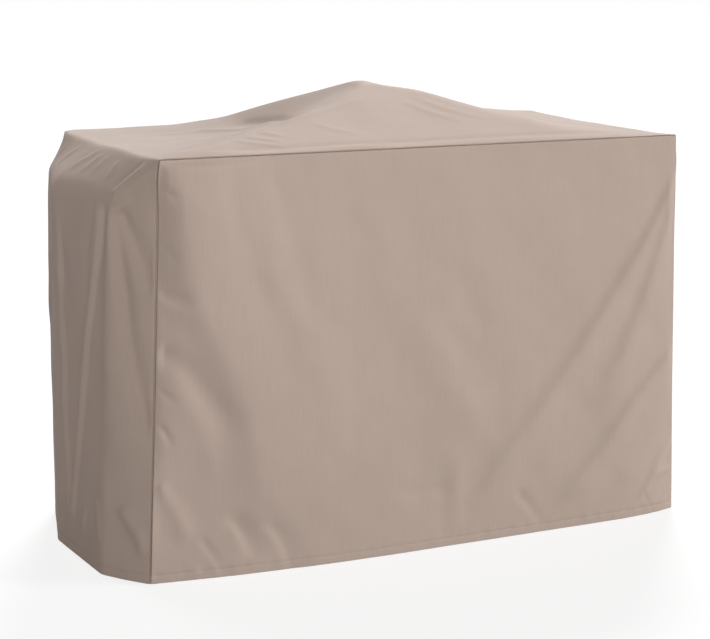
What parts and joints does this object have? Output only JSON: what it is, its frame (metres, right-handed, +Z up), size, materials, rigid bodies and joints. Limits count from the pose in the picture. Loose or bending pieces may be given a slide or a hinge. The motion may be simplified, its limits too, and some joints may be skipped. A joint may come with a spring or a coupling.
{
  "type": "grill cover",
  "caption": "Fitted cloth cover for a wide grill cart: three sewn panels, low tent top, pushed-out left end, turned-up hem and hook-and-loop leg straps inside.",
  "frame": {"origin": "on the floor plane of the hem, under the middle of the whole cover's bounding box", "axes": "+Z up, -Y out of the front panel, +X towards the plain right end; the pushed-out end is at -X"},
  "size_m": [1.6806, 0.889, 1.197],
  "materials": {
    "cloth": "matte",
    "binding": "matte",
    "webbing": "satin",
    "loop_pile": "matte",
    "hook_tape": "matte"
  },
  "bodies": {
    "cover": {"front_panel": "cloth", "back_panel": "cloth", "top_and_ends_panel": "cloth", "front_seam_binding": "binding", "back_seam_binding": "binding", "strap_tab_front_left": "webbing", "loop_patch_front_left": "loop_pile", "strap_tab_back_left": "webbing", "loop_patch_back_left": "loop_pile", "strap_tab_front_right": "webbing", "loop_patch_front_right": "loop_pile", "strap_tab_back_right": "webbing", "loop_patch_back_right": "loop_pile"},
    "strap_front_left": {"strap_webbing_front_left": "webbing", "hook_patch_front_left": "hook_tape"},
    "strap_back_left": {"strap_webbing_back_left": "webbing", "hook_patch_back_left": "hook_tape"},
    "strap_front_right": {"strap_webbing_front_right": "webbing", "hook_patch_front_right": "hook_tape"},
    "strap_back_right": {"strap_webbing_back_right": "webbing", "hook_patch_back_right": "hook_tape"}
  },
  "joints": [
    {"name": "strap_front_left_peel", "type": "hinge", "parent": "cover", "child": "strap_front_left", "pos_m": [-0.80407, -0.23286, 0.05218], "axis": [-0.0448, -0.005, -0.999], "range_deg": [0, 110]},
    {"name": "strap_back_left_peel", "type": "hinge", "parent": "cover", "child": "strap_back_left", "pos_m": [-0.78473, 0.23278, 0.05219], "axis": [0.0434, -0.0094, 0.999], "range_deg": [0, 110]},
    {"name": "strap_front_right_peel", "type": "hinge", "parent": "cover", "child": "strap_front_right", "pos_m": [0.83278, -0.2575, 0.0523], "axis": [-0.03, 0, 0.9996], "range_deg": [0, 110]},
    {"name": "strap_back_right_peel", "type": "hinge", "parent": "cover", "child": "strap_back_right", "pos_m": [0.83278, 0.2575, 0.0523], "axis": [0.03, 0, -0.9996], "range_deg": [0, 110]}
  ]
}
